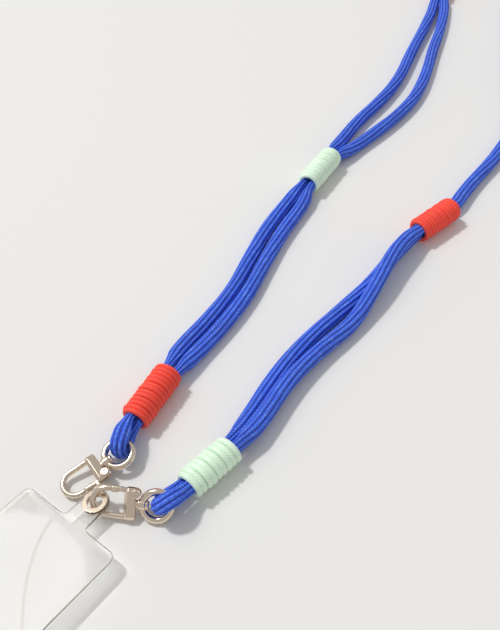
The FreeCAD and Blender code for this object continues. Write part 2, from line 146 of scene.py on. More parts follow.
CORD_B = [
    (0.1370, 0.1919, 0.0043), (0.1192, 0.1708, 0.0043), (0.1108, 0.1582, 0.0033),
    (0.1060, 0.1480, 0.0033), (0.0994, 0.1350, 0.0033), (0.0876, 0.1174, 0.0033),
    (0.0746, 0.0986, 0.0033), (0.0636, 0.0780, 0.0033), (0.0562, 0.0562, 0.0033),
    (0.0515, 0.0432, 0.0053), (0.0375, 0.0237, 0.0053), (0.0352, 0.0205, 0.0059),
    (0.0314, 0.0183, 0.0034), (0.0315, 0.0125, 0.0085), (0.0354, 0.0147, 0.0109),
    (0.0403, 0.0217, 0.0069), (0.0543, 0.0412, 0.0069), (0.0610, 0.0534, 0.0056),
    (0.0684, 0.0734, 0.0056), (0.0798, 0.0925, 0.0045), (0.0936, 0.1108, 0.0035),
    (0.1022, 0.1318, 0.0086), (0.1076, 0.1474, 0.0098), (0.1124, 0.1577, 0.0098),
    (0.1200, 0.1702, 0.0079), (0.1378, 0.1913, 0.0079),
]
TO_COIL = [
    (0.1405, 0.4282, 0.0061), (0.1444, 0.4559, 0.0061), (0.1446, 0.4690, 0.0033),
    (0.1491, 0.4801, 0.0033), (0.1583, 0.4878, 0.0033), (0.1700, 0.4903, 0.0033),
    (0.1815, 0.4868, 0.0033), (0.1898, 0.4782, 0.0033), (0.1934, 0.4657, 0.0033),
    (0.1915, 0.4440, 0.0033), (0.1889, 0.4240, 0.0033), (0.1858, 0.4000, 0.0033),
    (0.1838, 0.3760, 0.0033), (0.1838, 0.3580, 0.0033),
]
FROM_COIL = [
    (0.1906, 0.3570, 0.0086), (0.1870, 0.3410, 0.0106), (0.1848, 0.3220, 0.0106),
    (0.1834, 0.3070, 0.0062), (0.1804, 0.2900, 0.0033), (0.1746, 0.2700, 0.0033),
    (0.1670, 0.2520, 0.0033), (0.1596, 0.2360, 0.0033), (0.1508, 0.2210, 0.0033),
    (0.1438, 0.2076, 0.0033), (0.1370, 0.1919, 0.0043), (0.1192, 0.1708, 0.0043),
]
COIL_AT = Vector((0.224, 0.352, 0.0033))
OUTER_TURN = 0.0403
INNER_TURN = 0.0336
POINTS_PER_TURN = 16
POINTS_STEPPING_IN = 4
# a spline cuts inside its control points, so they stand out by this share
CUT_INSIDE = 0.0097


def coil_points():
    """Two flat turns: once round outside, then once round inside."""
    points = []
    for step in range(1, 2 * POINTS_PER_TURN - 1):
        angle = math.pi + 2 * math.pi * step / POINTS_PER_TURN
        inward = (step - POINTS_PER_TURN + 2) / POINTS_STEPPING_IN
        inward = min(1.0, max(0.0, inward))
        radius = OUTER_TURN + (INNER_TURN - OUTER_TURN) * inward
        radius *= 1.0 + CUT_INSIDE
        out = Vector((math.cos(angle), math.sin(angle), 0))
        points.append(COIL_AT + out * radius)
    return points


lines = {
    "cord_a": soft_line(CORD_A),
    "cord_b": soft_line(CORD_B),
    "cord_spare": soft_line(TO_COIL + [tuple(p) for p in coil_points()] + FROM_COIL),
}
for name, line in lines.items():
    print(name, "is", round(line_length(line), 3), "m long, from", len(line), "points")

# %% [markdown]
# ## Collars and rings squeeze the cord
# The cord is full and round where it is free. Inside a collar its two strands
# are pressed into half-moons, and in the hole of a ring it is drawn thin. Each
# such place is a short list: where it is, which way it presses, how far its
# pressure reaches, and how much of the cord's size is left.

# %% Places that squeeze
CORD_D = 0.0066
COLLAR_HEIGHT = 0.0061
COLLARS = {
    "collar_red_a": dict(low=(0.0140, 0.0474), top=(0.0231, 0.0732), tilt=30.0),
    "collar_mint_a": dict(low=(0.0654, 0.1989), top=(0.0768, 0.2272), tilt=0.0),
    "collar_mint_b": dict(low=(0.0389, 0.0227), top=(0.0529, 0.0422), tilt=-25.0),
    "collar_red_b": dict(low=(0.1196, 0.1705), top=(0.1374, 0.1916), tilt=-75.0),
    "collar_red_end": dict(low=(0.1386, 0.4285), top=(0.1425, 0.4562), tilt=0.0),
}
UP = Vector((0, 0, 1))


def collar_ends(name):
    low = Vector((*COLLARS[name]["low"], COLLAR_HEIGHT))
    top = Vector((*COLLARS[name]["top"], COLLAR_HEIGHT))
    return low, top


def collar_side(name):
    """Direction from one strand to the other inside a collar."""
    low, top = collar_ends(name)
    way = (top - low).normalized()
    tilt = math.radians(COLLARS[name]["tilt"])
    return UP.cross(way) * math.cos(tilt) + UP * math.sin(tilt)


FULL_WITHIN = 0.001
# reach, then the share of the cord's size left along the press and across it
COLLAR_PRESS = (0.009, 0.57, 0.90)
RING_PRESS = (0.006, 0.80, 0.93)
WIRE_TO_HOLE = 0.0034
# where each ring's wire is, and the way from its hole to that wire
RINGS = (
    (Vector((0.0126, 0.0383, 0.0063)), Vector((0.0753, 0.9797, 0.1858))),
    (Vector((0.0344, 0.0171, 0.0078)), Vector((0.7547, 0.4416, 0.4851))),
)
# start, end and direction of each press, and its three numbers
SQUEEZES = [(*collar_ends(name), collar_side(name), *COLLAR_PRESS)
            for name in COLLARS]
for wire, outwards in RINGS:
    hole = wire - outwards * WIRE_TO_HOLE
    SQUEEZES.append((hole, hole, outwards, *RING_PRESS))


def closest(point, start, end):
    """Distance from a point to a straight piece of line."""
    run = end - start
    if run.length < 1e-6:
        return (point - start).length
    along = min(1.0, max(0.0, (point - start).dot(run) / run.length_squared))
    return (point - start - run * along).length


def squeezed(point, offset):
    """A vertex's offset from the cord's line, after the nearest squeeze."""
    for start, end, press, reach, along, across in SQUEEZES:
        away = (closest(point, start, end) - FULL_WITHIN) / reach
        if away < 1.0:
            near = 1.0 - max(0.0, away)
            near = near * near * (3 - 2 * near)
            pressed = press * offset.dot(press)
            rest = offset - pressed
            offset = (pressed * (1 + (along - 1) * near)
                      + rest * (1 + (across - 1) * near))
    return offset


print(len(SQUEEZES), "places squeeze the cord")

# %% [markdown]
# ## Ribbed knit cord
# The cord is knitted round a soft core, and its stitches stand in nine ribs that
# run along it and turn slowly. The ribs are real shape here: a round section
# whose radius dips between them, carried along the line by a frame that turns
# as little as it can. The skin keeps its own UV map, round the cord in x and
# metres along it in y, so that the stitches can follow it later.

# %% Skin along a line
def travelling_frames(line):
    """Two sides of the line at each point, without needless turning."""
    frames = []
    side = None
    for index, point in enumerate(line):
        ahead = line[min(index + 1, len(line) - 1)]
        behind = line[max(index - 1, 0)]
        tangent = (ahead - behind).normalized()
        if side is None:
            side = UP.cross(tangent)
        side = (side - tangent * side.dot(tangent)).normalized()
        frames.append((side, tangent.cross(side)))
    return frames


def smooth_piece(name, mesh):
    """The mesh as a smooth piece in the scene."""
    mesh.polygons.foreach_set("use_smooth", [True] * len(mesh.polygons))
    mesh.update()
    return add_object(name, mesh)


def skin(name, line, sides, offset_at):
    """A closed tube mesh whose vertices stand off the line as offset_at says."""
    verts = []
    faces = []
    runs = [0.0]
    for a, b in zip(line, line[1:]):
        runs.append(runs[-1] + (b - a).length)
    for index, (side, other) in enumerate(travelling_frames(line)):
        for k in range(sides):
            angle = 2 * math.pi * k / sides
            offset = offset_at(line[index], runs[index], angle, side, other)
            verts.append(line[index] + offset)
    for index in range(len(line) - 1):
        for k in range(sides):
            here = index * sides
            following = (k + 1) % sides
            faces.append((here + k, here + following,
                          here + sides + following, here + sides + k))
    faces.append(tuple(reversed(range(sides))))
    faces.append(tuple(range((len(line) - 1) * sides, len(line) * sides)))
    mesh = bpy.data.meshes.new(name)
    mesh.from_pydata([tuple(v) for v in verts], [], faces)
    layer = mesh.uv_layers.new(name="around")
    for polygon in mesh.polygons:
        corners = list(polygon.loop_indices)
        if len(corners) > 4:
            continue
        index, k = divmod(polygon.index, sides)
        spots = [(k, index), (k + 1, index), (k + 1, index + 1), (k, index + 1)]
        for corner, (u, v) in zip(corners, spots):
            layer.data[corner].uv = (u / sides, runs[v])
    return smooth_piece(name, mesh)


# %% [markdown]
# A rib is a rounded hump, and the valley between two ribs is narrow. The
# absolute cosine has that shape. The whole pattern turns slowly along the cord
# and wanders a little, as a real knit does.

# %% Ribbed cords
RIBS = 9
VERTS_PER_RIB = 8
RIB_DEPTH = 0.15
HUMP_SHAPE = 0.9
TURN_PER_METRE = 5.5
# two slow waves along the cord: how much, and over how many metres
TURN_WAVE, TURN_WAVE_OVER = 0.22, 0.013
SIZE_WAVE, SIZE_WAVE_OVER = 0.015, 0.0083


def ribbed(point, run, angle, side, other):
    """Offset of a vertex on the knit's surface."""
    turn = TURN_PER_METRE * run + TURN_WAVE * math.sin(run / TURN_WAVE_OVER)
    hump = abs(math.cos(RIBS * angle / 2)) ** HUMP_SHAPE
    radius = CORD_D / 2 * (1 - RIB_DEPTH * (1 - hump))
    radius *= 1 + SIZE_WAVE * math.sin(run / SIZE_WAVE_OVER)
    turned = angle + turn
    offset = (side * math.cos(turned) + other * math.sin(turned)) * radius
    return squeezed(point, offset)


cords = {name: skin(name, line, RIBS * VERTS_PER_RIB, ribbed)
         for name, line in lines.items()}
for name, piece in cords.items():
    print(name, len(piece.data.polygons), "faces")

# %% [markdown]
# ## Wound collars
# Each collar is braided thread wound tightly round both strands, some dozen
# turns, with its ends tucked inside. It is one helix: the thread's section is
# a flattened round as wide as the pitch, the first and the last turn sit a
# little lower, and at each end the thread dives into the middle.

# %% Wind the thread
COLLAR_R = 0.0061
THREAD_HIGH = 0.0023
TURN_STEPS = 44
THREAD_SIDES = 12
INSIDE_SLEEVE = 0.0002
END_TURN_LOWER = 0.00035
END_DIVE = 0.0016
DIVES_PER_TURN = 6
# slow waves round the helix: how much, and over what angle
HEIGHT_WAVES = ((0.00010, 2.7), (0.00005, 0.83))
WANDER, WANDER_OVER = 0.00012, 1.9
# half the thread's width, as a share of the pitch: neighbours just overlap
HALF_WIDTH = 0.53


def wound_collar(name, turns):
    low, top = collar_ends(name)
    way = (top - low).normalized()
    across = UP.cross(way)
    length = (top - low).length
    pitch = length / turns
    steps = int((turns - 1) * TURN_STEPS)
    line = []
    for step in range(steps + 1):
        share = step / steps
        angle = 2 * math.pi * step / TURN_STEPS
        from_end = min(step, steps - step) / TURN_STEPS
        sunk = END_TURN_LOWER * max(0.0, 1 - from_end)
        sunk += END_DIVE * max(0.0, 1 - from_end * DIVES_PER_TURN) ** 2
        uneven = sum(wave * math.sin(angle / over) for wave, over in HEIGHT_WAVES)
        radius = COLLAR_R - INSIDE_SLEEVE - THREAD_HIGH / 2 - sunk + uneven
        wander = WANDER * math.sin(angle / WANDER_OVER) * min(1.0, from_end)
        place = low + way * (pitch / 2 + (length - pitch) * share + wander)
        outward = across * math.cos(angle) + UP * math.sin(angle)
        line.append(place + outward * radius)

    def thread(point, run, angle, side, other):
        """Flattened section: pitch wide along the collar, lower outwards."""
        along = low + way * (point - low).dot(way)
        outward = (point - along).normalized()
        return (way * math.cos(angle) * pitch * HALF_WIDTH
                + outward * math.sin(angle) * THREAD_HIGH / 2)

    return skin(name + "_thread", line, THREAD_SIDES, thread)


TURNS = {"collar_red_a": 14, "collar_mint_a": 11, "collar_mint_b": 10,
         "collar_red_b": 14, "collar_red_end": 14}
collars = {name: wound_collar(name, turns) for name, turns in TURNS.items()}
for piece in collars.values():
    print(piece.name, len(piece.data.polygons), "faces")

# %% [markdown]
# ## Clear phone tab
# The tab is one sheet of clear film: a plate that lies inside the phone's case,
# two square shoulders, and a narrow neck whose round head carries the eyelet.
# It could be cut from a cube with a Boolean, but a sheet that curls needs rows
# of faces to curl with. So it is laid out here in its own plane, x from the
# eyelet to the far end and y across, as rows of points and one ring of points
# round the eyelet. The sheet is thicker at the neck, and its rim is rounded.

# %% The tab's own plane
TAB_AT = Vector((0.0092265, 0.0136293, 0.00476))
TAB_HEADING = math.radians(239.0)
TAB_DIVE = math.radians(1.2)
TAB_ROLL = math.radians(7.0)


def tab_axes():
    """Along the tab, across it and out of its upper face."""
    along = Vector((math.cos(TAB_HEADING) * math.cos(TAB_DIVE),
                    math.sin(TAB_HEADING) * math.cos(TAB_DIVE), -math.sin(TAB_DIVE)))
    left = Vector((-math.sin(TAB_HEADING), math.cos(TAB_HEADING), 0))
    across = left * math.cos(TAB_ROLL) + along.cross(left) * math.sin(TAB_ROLL)
    return along, across, along.cross(across)


ALONG, ACROSS, OUT = tab_axes()
print("the tab's upper face looks along", tuple(round(c, 3) for c in OUT))

# %% [markdown]
# Each row of the plate is a list of distances across the sheet. Rows are close
# together where the outline turns a corner, and the two outermost columns are
# close together too, so that the rim has faces of its own.

# %% Rows of the plate
NECK_HALF = 0.005
NECK_FRONT = 0.0058
SHOULDER = 0.0095
PLATE_END = 0.0501
PLATE_LOW = -0.025
PLATE_HIGH = 0.021
CORNER = 0.003
NECK_FILLET = 0.0016
NECK_STEPS = 12
SIDE_SHARES = (0.0, 0.18, 0.4, 0.6, 0.78, 0.9, 0.965, 1.0)
NECK_SHARES = (0.0, 0.3, 0.57, 0.68, 0.79, 0.88, 0.95)
END_STEPS = (0.0, 0.00012, 0.00045, 0.001, 0.0017, 0.003)
PLATE_STEPS = 20


def corner_inset(from_end):
    """How far a rounded corner draws the side in, this far from the end."""
    if from_end >= CORNER:
        return 0.0
    return CORNER - math.sqrt(CORNER ** 2 - (CORNER - from_end) ** 2)


def neck_row(x):
    """Across the neck, which flares a little where it meets the shoulders."""
    near = max(0.0, 1 - (SHOULDER - x) / NECK_FILLET)
    half = NECK_HALF + NECK_FILLET * (1 - math.sqrt(max(0.0, 1 - near ** 2)))
    return [half * (2 * k / NECK_STEPS - 1) for k in range(NECK_STEPS + 1)]


def plate_row(x):
    """Across the plate: one side, the neck's width, the other side."""
    inset = corner_inset(min(x - SHOULDER, PLATE_END - x))
    middle = neck_row(SHOULDER)
    low = PLATE_LOW + inset
    high = PLATE_HIGH - inset
    below = [middle[0] + (low - middle[0]) * share
             for share in reversed(SIDE_SHARES[1:])]
    above = [middle[-1] + (high - middle[-1]) * share for share in SIDE_SHARES[1:]]
    return below + middle + above


NECK_ROWS = [NECK_FRONT + (SHOULDER - NECK_FRONT) * share for share in NECK_SHARES]
BETWEEN_CORNERS = PLATE_END - SHOULDER - 2 * CORNER
PLATE_ROWS = ([SHOULDER + step for step in END_STEPS]
              + [SHOULDER + CORNER + BETWEEN_CORNERS * k / PLATE_STEPS
                 for k in range(1, PLATE_STEPS)]
              + [PLATE_END - step for step in reversed(END_STEPS)])
print(len(NECK_ROWS), "rows of neck and", len(PLATE_ROWS), "rows of plate")

# %% [markdown]
# The head is a ring of quads between the eyelet's hole and an outline that has
# the same points as the neck's first row, so both parts share an edge.

# %% Flat layout of the tab
HOLE_R = 0.003325
RING_SHARES = (0.0, 0.12, 0.45, 0.8, 0.93, 1.0)
HEAD_SIDE_STEPS = 4
HEAD_BACK_STEPS = 24


def head_outline():
    """Round the head: its front, one side, the round back, the other side."""
    points = [(NECK_FRONT, y) for y in neck_row(NECK_FRONT)]
    points += [(NECK_FRONT * (1 - k / HEAD_SIDE_STEPS), NECK_HALF)
               for k in range(1, HEAD_SIDE_STEPS + 1)]
    for k in range(1, HEAD_BACK_STEPS + 1):
        angle = math.pi / 2 + math.pi * k / HEAD_BACK_STEPS
        points.append((NECK_HALF * math.cos(angle), NECK_HALF * math.sin(angle)))
    points += [(NECK_FRONT * k / HEAD_SIDE_STEPS, -NECK_HALF)
               for k in range(1, HEAD_SIDE_STEPS)]
    return points


def tab_layout():
    """Flat points and the quads between them."""
    spots = []
    index = {}

    def spot(x, y):
        key = (round(x, 7), round(y, 7))
        if key not in index:
            index[key] = len(spots)
            spots.append(key)
        return index[key]

    quads = []
    outline = head_outline()
    rings = []
    for share in RING_SHARES:
        ring = []
        for x, y in outline:
            reach = math.hypot(x, y)
            scale = (HOLE_R + (reach - HOLE_R) * share) / reach
            ring.append(spot(x * scale, y * scale))
        rings.append(ring)
    for inner, outer in zip(rings, rings[1:]):
        for k in range(len(outline)):
            following = (k + 1) % len(outline)
            quads.append((inner[k], outer[k], outer[following], inner[following]))
    rows = [[spot(x, y) for y in neck_row(x)] for x in NECK_ROWS]
    plate = [[spot(x, y) for y in plate_row(x)] for x in PLATE_ROWS]
    side = len(SIDE_SHARES) - 1
    rows.append(plate[0][side:side + NECK_STEPS + 1])
    for group in (rows, plate):
        for behind, ahead in zip(group, group[1:]):
            for k in range(len(behind) - 1):
                quads.append((behind[k], ahead[k], ahead[k + 1], behind[k + 1]))
    return spots, quads


tab_spots, tab_quads = tab_layout()
print(len(tab_spots), "points and", len(tab_quads), "quads lie flat")

# %% [markdown]
# Now the flat layout becomes a closed solid: one copy of the points on each
# face, drawn in a little at the rim, and walls round the free edges with a
# middle row of points at full size, which rounds the rim. The plate lifts
# slightly towards its far corners. A value on each point says whether it is on
# the rim, so that the finish can frost the cut edge.

# %% Solid tab
NECK_THICK = 0.0013
PLATE_THICK = 0.0009
RIM_ROUND = 0.00022
THINS_FROM, THINS_OVER = 0.0085, 0.003
CURL, CURL_OVER = 0.0009, 0.03


def share_of(x, start, over):
    """How far x has come from the start, as a share that stays within 0 and 1."""
    return min(1.0, max(0.0, (x - start) / over))


def thickness(x):
    share = share_of(x, THINS_FROM, THINS_OVER)
    return NECK_THICK + (PLATE_THICK - NECK_THICK) * share


def tab_place(x, y, height):
    """From the flat layout to the row frame, with the slight curl."""
    lift = CURL * (y / PLATE_HIGH) ** 2 * share_of(x, SHOULDER, CURL_OVER)
    return TAB_AT + ALONG * x + ACROSS * y + OUT * (height + lift)


def free_edges(quads):
    """Edges with one quad only, each in the order in which that quad uses it."""
    seen = {}
    for quad in quads:
        for a, b in zip(quad, quad[1:] + quad[:1]):
            seen[(a, b)] = True
    return [edge for edge in seen if (edge[1], edge[0]) not in seen]


def solid_tab(name):
    rim_edges = free_edges(tab_quads)
    outward = {}
    for a, b in rim_edges:
        run = Vector(tab_spots[b]) - Vector(tab_spots[a])
        normal = Vector((run.y, -run.x)).normalized()
        for end in (a, b):
            outward[end] = outward.get(end, Vector((0, 0))) + normal
    count = len(tab_spots)
    verts = []
    rim = []
    for sign in (1, -1):
        for number, (x, y) in enumerate(tab_spots):
            half = thickness(x) / 2
            at_rim = number in outward
            if at_rim:
                inward = outward[number].normalized() * RIM_ROUND
                x, y = x - inward.x, y - inward.y
            verts.append(tab_place(x, y, sign * half))
            rim.append(1.0 if at_rim else 0.0)
    middle = {}
    for number in outward:
        x, y = tab_spots[number]
        middle[number] = len(verts)
        verts.append(tab_place(x, y, 0))
        rim.append(1.0)
    faces = list(tab_quads)
    faces += [tuple(count + v for v in reversed(quad)) for quad in tab_quads]
    for a, b in rim_edges:
        faces.append((b, a, middle[a], middle[b]))
        faces.append((middle[b], middle[a], count + a, count + b))
    mesh = bpy.data.meshes.new(name)
    mesh.from_pydata([tuple(v) for v in verts], [], faces)
    frost = mesh.attributes.new("rim", "FLOAT", "POINT")
    frost.data.foreach_set("value", rim)
    plan = mesh.uv_layers.new(name="plan")
    flat = tab_spots + tab_spots + [tab_spots[number] for number in outward]
    for corner, loop in enumerate(mesh.loops):
        plan.data[corner].uv = flat[loop.vertex_index]
    return smooth_piece(name, mesh)


clear_tab = solid_tab("clear_tab")
tab_check = bmesh.new()
tab_check.from_mesh(clear_tab.data)
tab_volume = round(tab_check.calc_volume(signed=True) * 1e9)
open_edges = sum(1 for edge in tab_check.edges if not edge.is_manifold)
tab_check.free()
print("clear_tab volume", tab_volume, "mm3, open edges", open_edges)

# %% [markdown]
# ## Finishes
# Every finish is built from nodes. These helpers add a node and give its
# inputs, either as plain values or as links from other nodes, so that each
# finish below reads as a short list of steps. Patterns are placed either by a
# piece's own UV map or by object coordinates, which stay with the piece.

# %% Node helpers
def feed(tree, node, *inputs):
    """Inputs of a node, by name; a socket given as a value is linked."""
    for name, value in inputs:
        if isinstance(value, bpy.types.NodeSocket):
            tree.links.new(value, node.inputs[name])
        else:
            node.inputs[name].default_value = value


def put(tree, kind, *inputs, out=0, **settings):
    """A new node with these inputs and settings; one output is handed back."""
    made = tree.nodes.new(kind)
    for key, value in settings.items():
        setattr(made, key, value)
    feed(tree, made, *inputs)
    return made.outputs[out]


def maths(tree, operation, *values):
    """One Math node."""
    return put(tree, "ShaderNodeMath", *enumerate(values), operation=operation)


def stretched(tree, vector, scale):
    """Coordinates multiplied by a scale along each axis."""
    return put(tree, "ShaderNodeVectorMath", (0, vector), (1, scale),
               operation="MULTIPLY")


def noise(tree, vector, scale, detail=2.0):
    return put(tree, "ShaderNodeTexNoise", ("Vector", vector), ("Scale", scale),
               ("Detail", detail))


def between(tree, value, low, high, start=0.0, end=1.0):
    """A value taken from one range to another, and kept inside it."""
    return put(tree, "ShaderNodeMapRange", ("Value", value), ("From Min", low),
               ("From Max", high), ("To Min", start), ("To Max", end))


def blend_colour(tree, share, first, second):
    return put(tree, "ShaderNodeMix", (0, share), (6, first), (7, second),
               out=2, data_type="RGBA")


def bumped(tree, height, distance, strength):
    return put(tree, "ShaderNodeBump", ("Height", height), ("Distance", distance),
               ("Strength", strength))


def on_skin(tree, uv_map):
    """A piece's own UV map, whole and as its two axes."""
    flat = put(tree, "ShaderNodeUVMap", uv_map=uv_map)
    axes = tree.nodes.new("ShaderNodeSeparateXYZ")
    tree.links.new(flat, axes.inputs[0])
    return flat, axes.outputs[0], axes.outputs[1]


def in_space(tree):
    """Object coordinates, in metres."""
    return put(tree, "ShaderNodeTexCoord", out="Object")


print("patterns are placed by a UV map or by object coordinates")

# %% [markdown]
# An effect that several finishes share is a group: a small tree of its own with
# named inputs and outputs. It is built once, and each finish uses it with its
# own numbers.

# %% Group and finish helpers
def new_group(name, inputs, outputs):
    """A shader node group with named inputs and outputs, and its two ends."""
    tree = bpy.data.node_groups.new(name, "ShaderNodeTree")
    for label, kind, value in inputs:
        socket = tree.interface.new_socket(label, in_out="INPUT", socket_type=kind)
        if value is not None:
            socket.default_value = value
    for label, kind in outputs:
        tree.interface.new_socket(label, in_out="OUTPUT", socket_type=kind)
    ends = tree.nodes.new("NodeGroupInput"), tree.nodes.new("NodeGroupOutput")
    return tree, ends[0].outputs, ends[1].inputs


def use_group(tree, group, *inputs):
    """A group used in a finish; its outputs are picked by name."""
    made = tree.nodes.new("ShaderNodeGroup")
    made.node_tree = group
    feed(tree, made, *inputs)
    return made.outputs


def new_finish(name):
    """A material, its node tree and its Principled BSDF."""
    material = bpy.data.materials.new(name)
    material.use_nodes = True
    tree = material.node_tree
    return material, tree, tree.nodes["Principled BSDF"]


FLOAT = "NodeSocketFloat"
COLOUR = "NodeSocketColor"
VECTOR = "NodeSocketVector"
print("a group's sockets are", FLOAT, COLOUR, "or", VECTOR)

# %% [markdown]
# Nothing that is handled keeps one flat colour. The first group is soft wear:
# it drifts a colour lighter and darker in patches and varies the roughness
# with them. The second is fuzz, the fine down on yarn and thread.

# %% Groups: soft wear and fuzz
SOFT_WEAR, given, result = new_group(
    "soft wear",
    [("Vector", VECTOR, None), ("Color", COLOUR, (0.5, 0.5, 0.5, 1)),
     ("Scale", FLOAT, 60.0), ("Amount", FLOAT, 0.15), ("Roughness", FLOAT, 0.5)],
    [("Color", COLOUR), ("Roughness", FLOAT)])
patches = noise(SOFT_WEAR, given["Vector"], given["Scale"], 3.0)
swing = maths(SOFT_WEAR, "SUBTRACT", patches, 0.5)
swing = maths(SOFT_WEAR, "MULTIPLY", swing, given["Amount"])
drifted = put(SOFT_WEAR, "ShaderNodeHueSaturation", ("Color", given["Color"]),
              ("Value", maths(SOFT_WEAR, "ADD", swing, 1.0)))
rougher = maths(SOFT_WEAR, "ADD", given["Roughness"], swing)
SOFT_WEAR.links.new(drifted, result["Color"])
SOFT_WEAR.links.new(rougher, result["Roughness"])

FUZZ, given, result = new_group(
    "fuzz", [("Vector", VECTOR, None), ("Scale", FLOAT, 4000.0)], [("Height", FLOAT)])
FUZZ.links.new(noise(FUZZ, given["Vector"], given["Scale"], 1.0), result["Height"])
print("groups so far:", [group.name for group in bpy.data.node_groups])

# %% [markdown]
# The cord and the thread are both laid from small stitches that slant across
# their line. The stitch group draws them on a piece's own UV map, where x goes
# once round and y is metres along: a row of rounded humps, leaning by a slant,
# with a second row leaning the other way for a braid.

# %% Group: slanting stitches
STITCHES, given, result = new_group(
    "slanting stitches",
    [("Across", FLOAT, 0.0), ("Along", FLOAT, 0.0), ("Per metre", FLOAT, 600.0),
     ("Slant", FLOAT, 0.5), ("Braid", FLOAT, 0.0)], [("Height", FLOAT)])
count_along = maths(STITCHES, "MULTIPLY", given["Along"], given["Per metre"])
lean = maths(STITCHES, "MULTIPLY", given["Across"], given["Slant"])


def stitch_row(operation):
    """Humps along one lean."""
    phase = maths(STITCHES, operation, count_along, lean)
    phase = maths(STITCHES, "MULTIPLY", phase, math.pi)
    return maths(STITCHES, "ABSOLUTE", maths(STITCHES, "SINE", phase))


one_way = stitch_row("ADD")
other_way = stitch_row("SUBTRACT")
both = maths(STITCHES, "MAXIMUM", one_way, other_way)
crossed = maths(STITCHES, "MULTIPLY", both, given["Braid"])
unbraided = maths(STITCHES, "SUBTRACT", 1.0, given["Braid"])
plain = maths(STITCHES, "MULTIPLY", one_way, unbraided)
STITCHES.links.new(maths(STITCHES, "ADD", crossed, plain), result["Height"])
print("groups:", [group.name for group in bpy.data.node_groups])

# %% [markdown]
# ## Blue knit
# The cord is a saturated royal blue. Its rib crests carry broken pale highlights
# painted into the colour, and the valleys between ribs are painted almost navy
# as shade. Each rib is a chain of small leaning loops.

# %% Cord finish
CORD_BLUE = (0.052, 0.160, 0.90, 1)
# painted shade: the colour of the valleys between ribs
CORD_PAINTED_SHADE = (0.010, 0.030, 0.34, 1)
# painted highlight: the pale colour of the lit rib crests
CORD_PAINTED_HIGHLIGHT = (0.24, 0.46, 1.0, 1)

LOOPS_PER_METRE, LOOP_SLANT = 640.0, 0.45
HIGHLIGHT_STRETCH = (46.0, 210.0, 1.0)
HIGHLIGHT_SHARE = 0.7
CORD_DOWN = 0.35

cord_blue, tree, knit = new_finish("cord_blue")
around, across, along = on_skin(tree, "around")
in_rib = maths(tree, "MULTIPLY_ADD", across, float(RIBS), 0.5)
from_middle = maths(tree, "SUBTRACT", maths(tree, "FRACT", in_rib), 0.5)
off_crest = maths(tree, "MULTIPLY", maths(tree, "ABSOLUTE", from_middle), 2.0)
crest = between(tree, off_crest, 1.0, 0.25)
loops = use_group(tree, STITCHES, ("Across", off_crest), ("Along", along),
                  ("Per metre", LOOPS_PER_METRE), ("Slant", LOOP_SLANT))["Height"]
# painted highlights: broken pale flecks along the rib crests
highlight_noise = noise(tree, stretched(tree, around, HIGHLIGHT_STRETCH), 1.0)
painted_highlights = maths(tree, "MULTIPLY", between(tree, highlight_noise, 0.48, 0.66), crest)
painted_highlights = maths(tree, "MULTIPLY", painted_highlights, between(tree, loops, 0.2, 0.9))
painted_highlights = maths(tree, "MULTIPLY", painted_highlights, HIGHLIGHT_SHARE)
# painted shade in the valleys, then painted highlights on the rib crests
yarn_with_painted_light = blend_colour(tree, crest, CORD_PAINTED_SHADE, CORD_BLUE)
yarn_with_painted_light = blend_colour(tree, painted_highlights, yarn_with_painted_light, CORD_PAINTED_HIGHLIGHT)
place = in_space(tree)
worn = use_group(tree, SOFT_WEAR, ("Vector", place), ("Color", yarn_with_painted_light),
                 ("Scale", 90.0), ("Amount", 0.35), ("Roughness", 0.72))
down = use_group(tree, FUZZ, ("Vector", place), ("Scale", 3500.0))["Height"]
relief = maths(tree, "ADD", maths(tree, "MULTIPLY", loops, crest),
               maths(tree, "MULTIPLY", down, CORD_DOWN))
feed(tree, knit, ("Base Color", worn["Color"]), ("Roughness", worn["Roughness"]),
     ("Normal", bumped(tree, relief, 0.00035, 0.8)))
print(cord_blue.name, "has", len(tree.nodes), "nodes")

# %% [markdown]
# ## Whipping thread
# The coral thread is a thin braid, so it shows small crossed stitches. The
# mint thread is smoother and a little glossy, with a single fine twist. One
# function makes both, because only their numbers differ.

# %% Thread finishes
THREAD_SLANT = 4.0
THREAD_DOWN = 0.3


def thread_finish(name, colour, painted_shade, per_metre, braid, depth, roughness):
    """Stitches of one colour, painted darker between them as shading, worn and a little
    downy.
    """
    material, tree, thread = new_finish(name)
    _, across, along = on_skin(tree, "around")
    stitch = use_group(tree, STITCHES, ("Across", across), ("Along", along),
                       ("Per metre", per_metre), ("Slant", THREAD_SLANT),
                       ("Braid", braid))["Height"]
    place = in_space(tree)
    # painted shade: the colour darkens between the stitches, where less light reaches
    tone_with_painted_shade = blend_colour(tree, between(tree, stitch, 0.0, 0.8), painted_shade, colour)
    worn = use_group(tree, SOFT_WEAR, ("Vector", place), ("Color", tone_with_painted_shade),
                     ("Scale", 220.0), ("Amount", 0.22), ("Roughness", roughness))
    down = use_group(tree, FUZZ, ("Vector", place), ("Scale", 5000.0))["Height"]
    height = maths(tree, "ADD", stitch, maths(tree, "MULTIPLY", down, THREAD_DOWN))
    feed(tree, thread, ("Base Color", worn["Color"]),
         ("Roughness", worn["Roughness"]), ("Normal", bumped(tree, height, depth, 0.7)))
    return material


# the second colour of each thread is painted shade for the hollows between stitches
thread_red = thread_finish("thread_red", (1.0, 0.085, 0.050, 1),
                           (0.80, 0.022, 0.012, 1), 1300.0, 1.0, 0.00018, 0.62)
thread_mint = thread_finish("thread_mint", (0.81, 0.97, 0.80, 1),
                            (0.66, 0.93, 0.67, 1), 900.0, 0.0, 0.00003, 0.45)
print("threads:", thread_red.name, "and", thread_mint.name)

